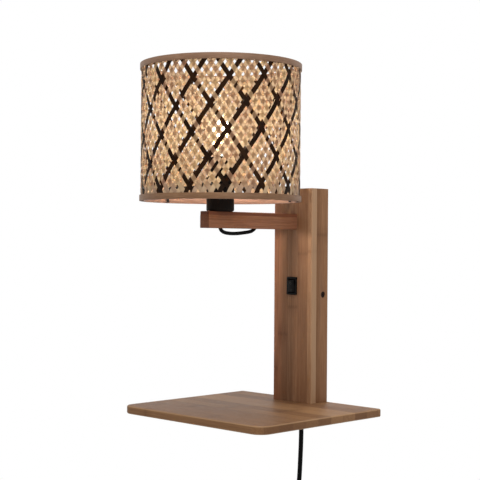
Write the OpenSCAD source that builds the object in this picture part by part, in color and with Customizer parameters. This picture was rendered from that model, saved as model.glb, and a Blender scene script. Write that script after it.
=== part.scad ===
// Wall lamp with a shelf: a bamboo box column that hooks over a steel wall bracket, an arm that
// carries a woven drum shade on a lamp holder, and a shelf board under the column.
// The origin is the middle of the bracket's back face. The wall is the plane y = 0,
// the lamp stands out along -Y, +X is to the right and +Z is up.

/* [Column] */
// Width of the column
column_w = 60; // [56:1:80]
// Depth of the column, measured from the wall
column_d = 30; // [29:0.5:40]
// Height of the column above the shelf
column_h = 252; // [245:1:300]
// Thickness of the front board
front_t = 9; // [8:0.5:11]
// Thickness of each side board
side_t = 9; // [8:0.5:11]
// Thickness of the block that closes the top of the column
cap_t = 9; // [6:1:14]
// Height of the block that joins the column to the shelf
foot_h = 18; // [16:1:30]
// Radius of the column's upright corners
column_r = 1.5; // [0.5:0.5:2.5]

/* [Shelf] */
// Width of the shelf board
shelf_w = 222; // [180:1:300]
// Depth of the shelf board, measured from the wall
shelf_d = 198; // [160:1:240]
// Thickness of the shelf board
shelf_t = 9; // [8:0.5:15]
// Radius of the shelf's front corners
shelf_front_r = 15; // [5:1:30]
// Radius of the shelf's back corners
shelf_back_r = 3; // [2:0.5:10]
// Width of the bevel along the shelf's edges
shelf_bevel = 1; // [0.5:0.25:2]
// Distance between the two screws that hold the column to the shelf
shelf_screw_gap = 28; // [22:1:32]

/* [Wall bracket] */
// Height of the bracket's middle above the shelf's top face
bracket_up = 127; // [115:1:140]
// Height of the bracket's back plate
plate_h = 60; // [54:1:80]
// Distance between the two wall screw holes
wall_hole_gap = 40; // [34:1:46]
// Diameter of a wall screw hole
wall_hole_d = 5; // [4:0.5:6]
// Thickness of the bracket's sheet steel
plate_t = 2; // [1.5:0.25:3]
// Depth of the bracket's two side flanges, measured from the wall
flange_d = 18; // [16:0.5:19]
// Height of a side flange
flange_h = 24; // [16:1:30]
// Distance of the side screws from the wall
side_screw_y = 9; // [8.5:0.5:12]
// Thread diameter of a side screw
side_screw_d = 4; // [3:0.5:5]
// Head diameter of a side screw
side_head_d = 7.2; // [6.5:0.1:8]
// Length of a side screw under its head
side_screw_l = 12; // [11:1:16]
// Depth of the recess that the side screw's head sits in
side_recess = 3.2; // [2.8:0.2:4.5]

/* [Arm] */
// Width of the arm
arm_w = 14; // [14:0.5:18]
// Height of the arm with its cover
arm_h = 18.6; // [17:0.2:22]
// Height of the arm's underside above the shelf
arm_up = 203.6; // [190:0.2:212]
// How far the arm's tip stands beyond the shade's axis
arm_overhang = 24; // [18:1:34]
// Thickness of the slat that covers the cable groove
cover_t = 4; // [3:0.5:5]
// How far the cover slat is set back from the arm's sides
cover_inset = 0.3; // [0.1:0.1:0.6]
// Width of the cable groove in the arm
groove_w = 6; // [5.2:0.2:7]
// Depth of the cable groove in the arm
groove_t = 6; // [5.4:0.2:6.6]
// Radius of the arm's long edges
arm_r = 1; // [0.5:0.25:1.5]
// Distance of the loop's front hole from the column
loop_hole_y = 65.5; // [60:0.5:75]

/* [Lamp holder] */
// Distance of the shade's axis from the wall
axis_y = 150; // [148:1:152]
// Outer diameter of the holder
holder_d = 31; // [30:0.5:34]
// Height of the holder's lower cap
holder_cap_h = 22; // [18:1:24]
// Height of the whole holder above the arm
holder_h = 60; // [58:1:64]
// Outer diameter of the holder's threaded sleeve
sleeve_d = 27.6; // [26:0.2:28.4]
// Wall thickness of the holder's cap and sleeve
holder_wall = 1.8; // [1.4:0.2:2.2]
// Outer diameter of the hollow nipple under the holder
nipple_d = 8; // [7.6:0.2:8.4]
// Bore of the nipple
nipple_bore = 5; // [4.8:0.1:5.4]
// Height of the ring nut that clamps the shade's fitter
collar_h = 8; // [6:0.5:10]

/* [Bulb] */
// Diameter of the candle bulb's glass
bulb_d = 35; // [33:0.5:37]
// Length of the glass above its cap
bulb_glass_h = 74; // [68:1:76]
// Thickness of the glass
glass_t = 0.9; // [0.7:0.1:1.2]
// Height of the bulb's screw cap
bulb_cap_h = 24; // [22:0.5:25]
// Diameter of the bulb's screw cap
bulb_cap_d = 13.9; // [13.5:0.1:14.1]
// Number of filaments in the bulb
filament_count = 4; // [3:1:6]
// Length of a filament
filament_l = 30; // [24:1:32]

/* [Shade] */
// Outer diameter of the shade
shade_d = 180; // [170:1:190]
// Height of the shade
shade_h = 152; // [140:1:160]
// Gap between the arm and the shade's lower rim
shade_gap = 11; // [9:0.5:13]
// Height of each rim hoop
hoop_h = 6.5; // [5:0.5:9]
// Thickness of each rim hoop
hoop_t = 1.2; // [1:0.1:1.8]
// Number of strips that lean each way, a multiple of four
strip_count = 56; // [48:4:56]
// Width of a strip
strip_w = 4.6; // [4:0.1:4.6]
// Thickness of a strip
strip_t = 0.4; // [0.3:0.05:0.4]
// How far a strip swings in and out as it passes over and under
weave_swing = 1.25; // [1.25:0.05:1.5]
// Height from one row of crossings to the next
row_h = 7.25; // [7:0.05:7.6]
// Height above the lower rim of a row where two dark strips cross
dark_row_up = 100; // [90:0.5:110]
// Direction in which two dark strips cross on that row, in degrees
dark_row_turn = -52; // [-64:1:-40]
// Diameter of the fitter's wires
fitter_wire_d = 3; // [2.4:0.2:3.4]
// Height of the fitter's wires above the lower rim
fitter_up = 17; // [15:0.5:20]
// Direction of the fitter's first wire, in degrees
fitter_turn = 183; // [150:1:210]

/* [Switch] */
// Height of the switch's middle above the shelf
switch_up = 137; // [120:1:150]
// Width of the switch's rim
switch_w = 15; // [14.4:0.2:17]
// Height of the switch's rim
switch_h = 21; // [20.4:0.2:24]
// How far the switch's rim stands out of the column
switch_rim = 1.8; // [1.2:0.2:2.4]
// Width of the switch's body behind its rim
switch_body_w = 13; // [12.6:0.1:13.6]
// Height of the switch's body behind its rim
switch_body_h = 19; // [18.6:0.1:19.8]
// Wall thickness of the switch's body
switch_wall = 1.1; // [0.9:0.1:1.3]
// Angle that the rocker turns through
rocker_swing = 20; // [14:1:22]
// Diameter of the rocker's pivot stubs
rocker_pin_d = 2.4; // [2:0.1:2.8]

/* [Mains lead] */
// Diameter of the mains lead
cord_d = 5.6; // [5:0.1:6]
// Diameter of the lead that runs along the arm
arm_lead_d = 4.2; // [3.6:0.1:4.6]
// Diameter of a single wire inside the column
core_d = 2; // [1.6:0.1:2.2]
// Length of the tapered strain relief under the shelf
relief_l = 24; // [20:1:30]
// Distance of the mains lead's outlet from the wall
cord_y = 12.5; // [12.5:0.5:15.5]
// Turns in each of the coil's two layers
coil_turns = 3; // [2:1:4]
// Radius of the coil at the middle of its turns
coil_r = 33.6; // [32:0.2:40]
// Distance from one turn of the coil to the next
coil_pitch = 6.3; // [6.1:0.1:6.8]

/* [Hidden] */

$fn = 48;

// Clearances
fit = 0.15;      // around a round piece in its hole
seat = 0.3;      // beside a curved or woven piece
thread_gap = 0.05;

// Heights in the part's frame
z_shelf = -bracket_up;
z_top = z_shelf + column_h;
z_arm = z_shelf + arm_up;
z_arm_top = z_arm + arm_h;
z_rim = z_arm_top + shade_gap;
z_switch = z_shelf + switch_up;

// Column
inner_w = column_w - 2 * side_t;
inner_d = column_d - front_t;

// Shelf screws
shelf_screw_d = 4;
shelf_screw_l = 22;
shelf_screw_head = 8;

// Arm
arm_l = axis_y + arm_overhang - column_d;
body_h = arm_h - cover_t;
z_groove = z_arm + body_h - groove_t;
z_groove_mid = z_groove + groove_t / 2;
groove_l = loop_hole_y - 6;
arm_screw_d = 3.5;
arm_screw_l = 32;
arm_screw_head = 7;
z_arm_screw = z_arm + (body_h - groove_t) / 2;
lead_slope = 42;
loop_hole_d = arm_lead_d + 1.4;

// Holder
nut_d = 11.6;
nut_t = 3;
nut_recess = 4;
shoulder_h = 5;
z_fitter = z_arm_top + holder_cap_h + shoulder_h;
fitter_t = fitter_up + shade_gap - holder_cap_h - shoulder_h + fitter_wire_d / 2;
ring_d = 40;
fitter_bend = 5;
contact_z = holder_h - bulb_cap_h + 0.5;
core_d1 = sleeve_d - 2 * holder_wall - 2 * fit;
shell_t = 0.5;
shell_outer_d = bulb_cap_d + 2 * fit + 2 * shell_t;
z_bulb_cap = z_arm_top + contact_z;
z_glass = z_bulb_cap + bulb_cap_h;
stem_h = 16;
stem_d = 5;
filament_r = 7.4;
filament_lean = 4;

// Shade
weave_r = shade_d / 2 - hoop_t - seat - weave_swing - strip_t / 2;
inner_hoop_r = weave_r - weave_swing - strip_t / 2 - seat;
row_turn = 180 / strip_count;
lean = atan(row_h / (weave_r * row_turn * PI / 180));
strip_end = strip_w * cos(lean) / 2 + 0.7;

// The weave is a twill: every strip passes over two strips and under two. The strips that lean
// right and those that lean left swing in and out against each other, once every four rows.
turn_h = 2 * row_h;
peak_up = dark_row_up + row_h / 2;
end_gap = 2.5;
first_turn = ceil((strip_end + end_gap - peak_up) / turn_h);
last_turn = floor((shade_h - strip_end - end_gap - peak_up) / turn_h);
strip_heights = [strip_end, for (m = [first_turn:last_turn]) peak_up + m * turn_h, shade_h - strip_end];

// Switch
housing_d = 15;
rocker_r = switch_body_h / 2 - switch_wall - seat;
pivot_y = -column_d - switch_rim + 3.4;
rocker_w = switch_body_w - 2 * switch_wall - 2 * seat;
rocker_back = 5;
rocker_face = 3.8;
window_t = pivot_y + rocker_back + 1.5 + column_d + switch_rim;
pin_l = rocker_w + 2 * (switch_wall + seat - 0.1);
terminal_gap = 10;
terminal_l = 7;
terminal_y = -column_d - switch_rim + housing_d;
block = [16, 8, 16];

// Cord
z_outlet = z_shelf - shelf_t;
relief_flange = 1.6;
relief_d = 9;
relief_stem_d = 7.6;
coil_outer = coil_r + coil_turns * coil_pitch / 2;
coil_inner = coil_r - coil_turns * coil_pitch / 2;
coil_layer = 6.3;
rings_per_turn = 24;
tie_wall = 1.2;
tie_h = 4;
plug_relief_l = 24;
plug = [13.7, 35, 20];
plug_neck = [12, 24, 8];
plug_pin_gap = 19;
plug_pin_d = 4;
plug_pin_l = 19;

// The mains lead's free route, from the strain relief's tip to the coil
cord_path = [[0, -161.6], [0, -168], [-0.2, -175], [-0.5, -184], [-1, -194], [-1.5, -204],
  [-2.1, -214], [-3, -224], [-5.2, -234], [-8.6, -244], [-12.8, -254], [-17, -264],
  [-20.5, -274], [-22.8, -284], [-23.6, -292], [-23.6, -298]];
cord_route = [for (p = cord_path) [p[0], -cord_y, p[1]]];
coil_start = cord_route[len(cord_route) - 1];
coil_x = coil_start[0] + coil_outer;
coil_z = coil_start[2] - cord_d;

z_block = z_arm - 20 - block[2];

// The lead inside: up the strain relief and the foot to its end below the switch
inner_path = [[1, -161.5], [1, -148], [1, -134], [1, -120], [1, -106], [0.9, -92], [0.6, -78],
  [0.27, -64], [0.07, -50], [0, -37], [0, -25]];
inner_route = [for (p = inner_path) [0, -12 - p[0] * (cord_y - 12), p[1]]];

// The arm lead's route in the plane x = 0, as [distance from the wall, height above the
// arm's underside]: up the column, along the groove, the loop under the arm, up the nipple.
// Between the loop's two ends each distance is a share of the way from hole to nipple
hole_y = column_d + loop_hole_y;
loop = [[0.165, -3.6], [0.303, -4.5], [0.45, -5.3], [0.596, -5.7], [0.743, -5.5], [0.853, -4.8]];
arm_route = [[10, -14], [10, -6], [10.4, 0], [11.8, 5], [14.6, 9], [19, 11.2], [25, 11.6],
  [50, 11.6], [hole_y - 19.5, 11.6], [hole_y - 14.5, 11.0], [hole_y - 9.9, 8.9],
  [hole_y - 5.5, 5], [hole_y, 0], [hole_y + 3.5, -2.2],
  for (p = loop) [hole_y + p[0] * (axis_y - hole_y), p[1]],
  [axis_y - 3.6, -3.4], [axis_y - 1.3, -1.6], [axis_y - 0.2, 0.4], [axis_y, 2.4],
  [axis_y, 8], [axis_y, 16], [axis_y, 26]];

// ---------------------------------------------------------------- shapes used more than once

// A rectangle whose corners at its front, low y, are rounded
module front_rounded(w, d, r) {
  translate([-w / 2, r]) square([w, d - r]);
  translate([-w / 2 + r, 0]) square([w - 2 * r, d]);
  for (s = [-1, 1]) translate([s * (w / 2 - r), r]) circle(r);
}

// A rectangle with four rounded corners, centred
module rounded(w, h, r) {
  square([w, h - 2 * r], center = true);
  square([w - 2 * r, h], center = true);
  for (x = [-1, 1], y = [-1, 1]) translate([x * (w / 2 - r), y * (h / 2 - r)]) circle(r);
}

// Half the cross-section of a board with bevelled edges, from its middle out to x = w
module bevelled_half(w, t, bevel) {
  polygon([[0, 0], [w - bevel, 0], [w, bevel], [w, t - bevel], [w - bevel, t], [0, t]]);
}

// A countersunk screw that points up, its head's top face at z = 0 below
module wood_screw(d, l, head) {
  cylinder(h = head / 2 - d / 2, d1 = head, d2 = d);
  cylinder(h = l - d, d = d);
  translate([0, 0, l - d]) cylinder(h = d, d1 = d, d2 = 0.4);
}

// The hole for that screw
module wood_screw_hole(d, l, head) {
  translate([0, 0, -0.01]) cylinder(h = head / 2 - d / 2 + fit, d1 = head + 2 * fit, d2 = d + 2 * fit);
  cylinder(h = l + 1, d = d + 2 * fit);
}

// A plain ring
module ring(outer_r, inner_r, h) {
  difference() {
    cylinder(h = h, r = outer_r, $fn = 96);
    translate([0, 0, -1]) cylinder(h = h + 2, r = inner_r, $fn = 96);
  }
}

function unit(v) = v / norm(v);
function way(p, i) = unit(p[min(i + 1, len(p) - 1)] - p[max(i - 1, 0)]);

// A round tube swept along points. across is a direction that the route never takes
module tube(p, d, sides, across) {
  n = len(p);
  points = [for (i = [0:n - 1]) let (t = way(p, i), a = unit(cross(t, across)), b = cross(a, t))
    for (k = [0:sides - 1]) p[i] + d / 2 * (cos(360 * k / sides) * a + sin(360 * k / sides) * b)];
  skin = [for (i = [0:n - 2], k = [0:sides - 1])
    let (q = i * sides, m = (k + 1) % sides)
    each [[q + k, q + m, q + sides + k], [q + m, q + sides + m, q + sides + k]]];
  ends = [for (k = [1:sides - 2])
    each [[0, k + 1, k], [(n - 1) * sides, (n - 1) * sides + k, (n - 1) * sides + k + 1]]];
  polyhedron(points, concat(skin, ends));
}

// ---------------------------------------------------------------- column

module column_front() {
  color("burlywood") difference() {
    translate([0, -column_d, z_shelf]) linear_extrude(column_h)
      front_rounded(column_w, front_t, column_r);
    translate([0, -column_d + front_t / 2, z_switch])
      cube([switch_body_w + 2 * fit, front_t + 2, switch_body_h + 2 * fit], center = true);
    translate([0, -column_d - 1, z_groove_mid]) rotate([-90, 0, 0])
      cylinder(h = front_t + 2, d = groove_w);
    translate([0, -column_d + front_t, z_arm_screw]) rotate([90, 0, 0])
      wood_screw_hole(arm_screw_d, front_t, arm_screw_head);
  }
}

module column_side() {
  difference() {
    translate([0, 0, z_shelf]) linear_extrude(column_h) {
      translate([column_w / 2 - side_t, -inner_d]) square([side_t, inner_d - column_r]);
      translate([column_w / 2 - side_t, -inner_d]) square([side_t - column_r, inner_d]);
      translate([column_w / 2 - column_r, -column_r]) circle(column_r);
    }
    translate([0, -side_screw_y, 0]) rotate([0, 90, 0]) {
      cylinder(h = column_w, d = side_screw_d + 2 * fit);
      translate([0, 0, column_w / 2 - side_recess]) cylinder(h = side_recess + 1, d = side_head_d + 2 * fit);
    }
  }
}

module column_side_right() { color("tan") column_side(); }
module column_side_left() { color("tan") mirror([1, 0, 0]) column_side(); }

module column_cap() {
  color("tan") translate([-inner_w / 2, -inner_d, z_top - cap_t]) cube([inner_w, inner_d, cap_t]);
}

module column_foot() {
  color("tan") difference() {
    translate([-inner_w / 2, -inner_d, z_shelf]) cube([inner_w, inner_d, foot_h]);
    translate([0, -cord_y, z_shelf - 1]) cylinder(h = foot_h + 2, d = relief_stem_d + 2 * fit);
    shelf_screw_places() wood_screw_hole(shelf_screw_d, shelf_screw_l, shelf_screw_head);
  }
}

// ---------------------------------------------------------------- shelf

module shelf_screw_places() {
  for (s = [-1, 1]) translate([s * shelf_screw_gap / 2, -inner_d / 2, z_outlet]) children();
}

module shelf() {
  front = shelf_d - shelf_front_r;
  color("burlywood") difference() {
    translate([0, 0, z_outlet]) {
      translate([0, -shelf_back_r, 0]) rotate([90, 0, 0]) linear_extrude(front - shelf_back_r)
        for (s = [0, 1]) mirror([s, 0]) bevelled_half(shelf_w / 2, shelf_t, shelf_bevel);
      translate([0, -shelf_back_r, 0]) shelf_edge(shelf_w - 2 * shelf_back_r, shelf_back_r);
      translate([0, -front, 0]) mirror([0, 1, 0])
        shelf_edge(shelf_w - 2 * shelf_front_r, shelf_front_r);
      for (s = [-1, 1]) {
        translate([s * (shelf_w / 2 - shelf_front_r), -front, 0]) shelf_corner(shelf_front_r);
        translate([s * (shelf_w / 2 - shelf_back_r), -shelf_back_r, 0]) shelf_corner(shelf_back_r);
      }
    }
    translate([0, -cord_y, z_outlet - 1]) cylinder(h = shelf_t + 2, d = relief_stem_d + 2 * fit);
    shelf_screw_places() wood_screw_hole(shelf_screw_d, shelf_screw_l, shelf_screw_head);
  }
}

// The board's edge beyond y = 0, out to y = r
module shelf_edge(l, r) {
  translate([-l / 2, 0, 0]) rotate([90, 0, 90]) linear_extrude(l) bevelled_half(r, shelf_t, shelf_bevel);
}

module shelf_corner(r) {
  rotate_extrude() bevelled_half(r, shelf_t, shelf_bevel);
}

module shelf_screws() {
  color("gray") shelf_screw_places() wood_screw(shelf_screw_d, shelf_screw_l, shelf_screw_head);
}

// ---------------------------------------------------------------- wall bracket

module wall_bracket() {
  w = inner_w - 2 * seat;
  color("silver") difference() {
    union() {
      translate([-w / 2, -plate_t, -plate_h / 2]) cube([w, plate_t, plate_h]);
      for (s = [0, 1]) mirror([s, 0, 0])
        translate([w / 2 - plate_t, -flange_d, -flange_h / 2]) cube([plate_t, flange_d, flange_h]);
    }
    for (s = [-1, 1]) translate([0, 1, s * wall_hole_gap / 2]) rotate([90, 0, 0])
      cylinder(h = plate_t + 2, d = wall_hole_d);
    translate([-column_w / 2, -side_screw_y, 0]) rotate([0, 90, 0])
      cylinder(h = column_w, d = side_screw_d + 2 * thread_gap);
  }
}

module side_screws() {
  head_h = side_recess - 0.8;
  color("dimgray") for (s = [0, 1]) mirror([s, 0, 0])
    translate([column_w / 2 - side_recess, -side_screw_y, 0]) rotate([0, 90, 0]) {
      difference() {
        cylinder(h = head_h, d = side_head_d);
        translate([0, 0, head_h / 2]) cylinder(h = head_h, d = side_head_d / 3, $fn = 6);
      }
      translate([0, 0, -side_screw_l]) cylinder(h = side_screw_l, d = side_screw_d);
    }
}

// ---------------------------------------------------------------- arm

module arm_body() {
  color("peru") difference() {
    translate([0, -column_d, z_arm]) rotate([90, 0, 0]) linear_extrude(arm_l)
      front_rounded(arm_w, body_h, arm_r);
    translate([-groove_w / 2, -column_d - groove_l, z_groove]) cube([groove_w, groove_l + 1, groove_t + 1]);
    translate([0, -axis_y, z_arm - 1]) cylinder(h = arm_h, d = nipple_d + 2 * fit);
    translate([0, -axis_y, z_arm - 1]) cylinder(h = nut_recess + 1, d = nut_d + 2 * fit);
    translate([0, -hole_y, z_arm]) rotate([lead_slope - 90, 0, 0])
      cylinder(h = 60, d = loop_hole_d, center = true);
    translate([0, -column_d, z_arm_screw]) rotate([90, 0, 0]) translate([0, 0, -front_t])
      wood_screw_hole(arm_screw_d, arm_screw_l, arm_screw_head);
  }
}

module arm_cover() {
  w = arm_w - 2 * cover_inset;
  color("sienna") difference() {
    translate([0, -column_d, z_arm_top]) rotate([90, 0, 0]) linear_extrude(arm_l) mirror([0, 1])
      front_rounded(w, cover_t, arm_r);
    translate([0, -axis_y, z_arm_top - cover_t - 1]) cylinder(h = cover_t + 2, d = nipple_d + 2 * fit);
  }
}

module arm_screw() {
  color("gray") translate([0, -column_d + front_t, z_arm_screw]) rotate([90, 0, 0])
    wood_screw(arm_screw_d, arm_screw_l, arm_screw_head);
}

// ---------------------------------------------------------------- lamp holder

module on_axis(z) {
  translate([0, -axis_y, z]) children();
}

module holder_cap() {
  r = holder_d / 2;
  edge = 2;
  color("black") on_axis(z_arm_top) difference() {
    rotate_extrude() {
      translate([0, edge]) square([r, holder_cap_h - edge]);
      square([r - edge, holder_cap_h]);
      translate([r - edge, edge]) circle(edge);
    }
    translate([0, 0, holder_wall]) cylinder(h = holder_cap_h, d = sleeve_d + 2 * thread_gap);
    translate([0, 0, -1]) cylinder(h = holder_cap_h, d = nipple_d + 2 * fit);
  }
}

module holder_sleeve() {
  start = holder_cap_h - 9;
  color("black") on_axis(z_arm_top) difference() {
    union() {
      translate([0, 0, start]) cylinder(h = holder_h - start, d = sleeve_d);
      translate([0, 0, holder_cap_h]) cylinder(h = shoulder_h, d = holder_d);
    }
    translate([0, 0, start - 1]) cylinder(h = holder_h, d = sleeve_d - 2 * holder_wall);
  }
}

// The insulating body with the well for the bulb's cap
module holder_core() {
  top = holder_h - 2;
  bottom = holder_cap_h - 9;
  color("ivory") on_axis(z_arm_top) difference() {
    translate([0, 0, bottom]) cylinder(h = top - bottom, d = core_d1);
    translate([0, 0, contact_z - 2]) cylinder(h = top, d = shell_outer_d + 2 * thread_gap);
    for (s = [-1, 1]) translate([s * 4, 0, bottom - 1]) cylinder(h = contact_z, d = core_d + 2 * fit);
  }
}

// The threaded shell and the spring tongue at the bottom of the well
module holder_contacts() {
  color("gold") on_axis(z_arm_top) {
    translate([0, 0, contact_z]) ring(shell_outer_d / 2, shell_outer_d / 2 - shell_t, bulb_cap_h - 3);
    translate([0, 0, contact_z - 2]) cylinder(h = 1.9, d = 6);
  }
}

module holder_nipple() {
  z = z_arm + nut_recess - nut_t;
  color("silver") on_axis(z)
    ring(nipple_d / 2, nipple_bore / 2, arm_h - nut_recess + nut_t + holder_wall + nut_t);
}

module nipple_nuts() {
  color("silver") {
    on_axis(z_arm + nut_recess - nut_t) ring(nut_d / 2, nipple_d / 2 + thread_gap, nut_t);
    on_axis(z_arm_top + holder_wall) ring(nut_d / 2, nipple_d / 2 + thread_gap, nut_t);
  }
}

// The ring nut that clamps the shade's fitter on the holder's shoulder
module shade_collar() {
  color("black") on_axis(z_fitter + fitter_t) difference() {
    union() {
      cylinder(h = collar_h, d = holder_d + 4);
      cylinder(h = 2, d = holder_d + 7);
    }
    translate([0, 0, -1]) cylinder(h = collar_h + 2, d = sleeve_d + 2 * thread_gap);
    for (k = [0:15]) rotate([0, 0, k * 22.5]) translate([holder_d / 2 + 2.4, 0, 2])
      cylinder(h = collar_h, d = 1.6);
  }
}

// ---------------------------------------------------------------- bulb

// Radius of the candle's glass at share t of its height
function candle(t) = t < 0.4
  ? bulb_cap_d / 2 + (bulb_d - bulb_cap_d) / 2 * (1 - pow(1 - t / 0.4, 2.2))
  : bulb_d / 2 * pow(1 - pow((t - 0.4) / 0.6, 2), 0.75) + 1.2 * (t - 0.4) / 0.6 * (1 - t) / 0.6;

function candle_line(inset) = [for (k = [0:20]) let (t = k / 20)
  [max(candle(t) - inset, 0), t * (bulb_glass_h - inset)]];

module bulb_glass() {
  color("white", 0.4) on_axis(z_glass) difference() {
    rotate_extrude() polygon(concat([[0, 0]], candle_line(0)));
    translate([0, 0, -0.01]) rotate_extrude() polygon(concat([[0, 0]], candle_line(glass_t)));
  }
}

module bulb_cap() {
  color("silver") on_axis(z_bulb_cap) {
    cylinder(h = 2.5, d1 = 5, d2 = 9);
    translate([0, 0, 2.5]) cylinder(h = 2.5, d1 = 9, d2 = bulb_cap_d);
    translate([0, 0, 5]) cylinder(h = bulb_cap_h - 5, d = bulb_cap_d);
  }
}

module bulb_stem() {
  color("white", 0.6) on_axis(z_glass) {
    cylinder(h = 4, d1 = 11, d2 = stem_d);
    translate([0, 0, 4]) cylinder(h = stem_h - 4, d = stem_d);
    translate([0, 0, stem_h]) cylinder(h = filament_l + 1, d = 1.6);
  }
}

// Upright filaments that lean together at their tops, each between two support wires
module bulb_filaments() {
  top_r = filament_r - filament_l * sin(filament_lean);
  color("gold") on_axis(z_glass + stem_h - 2) for (k = [0:filament_count - 1])
    rotate([0, 0, 360 * (k + 0.5) / filament_count]) {
      translate([filament_r, 0, 0]) rotate([0, -filament_lean, 0]) cylinder(h = filament_l, d = 1.6);
      translate([stem_d / 2, 0, 1]) rotate([0, 90, 0]) cylinder(h = filament_r - stem_d / 2, d = 0.6);
      translate([0.85, 0, filament_l - 1.5]) rotate([0, 90, 0]) cylinder(h = top_r - 0.85, d = 0.6);
    }
}

// ---------------------------------------------------------------- shade

module fitter_ring() {
  color("dimgray") on_axis(z_fitter) ring(ring_d / 2, sleeve_d / 2 + fit, fitter_t);
}

// Three wires that run out from the ring and turn down against the lower inner hoop
module fitter_wires() {
  leg_r = inner_hoop_r - hoop_t - fitter_wire_d / 2 - 0.05;
  elbow_r = leg_r - fitter_bend;
  color("dimgray") on_axis(z_rim + fitter_up) for (k = [0:2]) rotate([0, 0, fitter_turn + 120 * k]) {
    translate([ring_d / 2 + 0.02, 0, 0]) rotate([0, 90, 0])
      cylinder(h = elbow_r - ring_d / 2 - 0.02, d = fitter_wire_d);
    translate([elbow_r, 0, -fitter_bend]) rotate([90, 0, 0]) rotate_extrude(angle = 90)
      translate([fitter_bend, 0]) circle(d = fitter_wire_d);
    translate([leg_r, 0, 1 - fitter_up]) cylinder(h = fitter_up - 1 - fitter_bend, d = fitter_wire_d);
  }
}

module outer_hoop() { ring(shade_d / 2, shade_d / 2 - hoop_t, hoop_h); }
module inner_hoop() { ring(inner_hoop_r, inner_hoop_r - hoop_t, hoop_h); }

module hoop_top_outer() { color("tan") on_axis(z_rim + shade_h - hoop_h) outer_hoop(); }
module hoop_top_inner() { color("tan") on_axis(z_rim + shade_h - hoop_h) inner_hoop(); }
module hoop_bottom_outer() { color("tan") on_axis(z_rim) outer_hoop(); }
module hoop_bottom_inner() { color("tan") on_axis(z_rim) inner_hoop(); }

// Swing at a height, from -1 at the inside to 1 at the outside, for the strips that lean left
function swing(z) = let (q = (z - peak_up) / (2 * turn_h), f = abs(q - round(q))) 1 - 4 * f;

// Two triangles that fill the corners a, b, c and d
function four_sided(a, b, c, d, flip) = flip ? [[a, b, c], [a, c, d]] : [[a, b, d], [b, c, d]];

// One strip. side is 1 for a strip that leans right and -1 for one that leans left
module strip(turn, side) {
  n = len(strip_heights);
  points = [for (z = strip_heights)
    let (a = turn + side * (z - dark_row_up) / row_h * row_turn,
      out = [cos(a), sin(a), 0],
      along = [-sin(a) * cos(lean) * side, cos(a) * cos(lean) * side, sin(lean)],
      across = cross(out, along),
      mid = (weave_r - side * weave_swing * swing(z)) * out + [0, 0, z])
    each [mid - strip_w / 2 * across - strip_t / 2 * out, mid + strip_w / 2 * across - strip_t / 2 * out,
      mid + strip_w / 2 * across + strip_t / 2 * out, mid - strip_w / 2 * across + strip_t / 2 * out]];
  skin = [for (i = [0:n - 2], k = [0:3]) let (q = 4 * i, m = (k + 1) % 4)
    each four_sided(q + k, q + 4 + k, q + 4 + m, q + m, (k == 2) == (side > 0))];
  last = 4 * (n - 1);
  ends = [[0, 1, 2], [0, 2, 3], [last, last + 2, last + 1], [last, last + 3, last + 2]];
  polyhedron(points, concat(skin, ends));
}

// One strip in four is dark, and the other three are natural
module strips(side, dark) {
  on_axis(z_rim) for (k = [0:strip_count - 1]) if ((k % 4 == 0) == dark)
    strip(dark_row_turn + 360 * k / strip_count, side);
}

module weave_natural_right() { color("wheat") strips(1, false); }
module weave_natural_left() { color("wheat") strips(-1, false); }
module weave_dark_right() { color("black") strips(1, true); }
module weave_dark_left() { color("black") strips(-1, true); }

// ---------------------------------------------------------------- switch

module switch_housing() {
  color("black") difference() {
    union() {
      translate([0, -column_d, z_switch]) rotate([90, 0, 0]) linear_extrude(switch_rim)
        rounded(switch_w, switch_h, 1);
      translate([-switch_body_w / 2, -column_d, z_switch - switch_body_h / 2])
        cube([switch_body_w, housing_d - switch_rim, switch_body_h]);
    }
    translate([-rocker_w / 2 - seat, -column_d - switch_rim - 1, z_switch - rocker_r - seat])
      cube([rocker_w + 2 * seat, window_t + 1, 2 * (rocker_r + seat)]);
    translate([-switch_w, pivot_y, z_switch]) rotate([0, 90, 0])
      cylinder(h = 2 * switch_w, d = rocker_pin_d + 2 * thread_gap);
  }
}

// The rocker at rest, pressed at its lower end. Its ends are round about the pivot
module switch_rocker() {
  half = rocker_swing / 2;
  end = rocker_face + rocker_r * tan(half);
  color("black") translate([0, pivot_y, z_switch]) rotate([half, 0, 0]) rotate([0, -90, 0]) {
    translate([0, 0, -rocker_w / 2]) linear_extrude(rocker_w) intersection() {
      circle(rocker_r);
      polygon([[-rocker_r, rocker_back], [-rocker_r, -end], [0, -rocker_face], [rocker_r, -end],
        [rocker_r, rocker_back]]);
    }
    cylinder(h = pin_l, d = rocker_pin_d, center = true);
  }
}

module switch_terminals() {
  color("gold") for (s = [-1, 1])
    translate([-2.4, terminal_y, z_switch + s * terminal_gap / 2 - 0.4]) cube([4.8, terminal_l, 0.8]);
}

module terminal_block() {
  color("white") translate([0, -arm_route[0][0], z_block]) {
    translate([-block[0] / 2, -block[1] / 2, 0]) cube(block);
    for (s = [-1, 1]) translate([s * block[0] / 4, -block[1] / 2, block[2] / 2]) rotate([90, 0, 0])
      cylinder(h = 2, d = 5);
  }
}

// ---------------------------------------------------------------- leads

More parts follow.
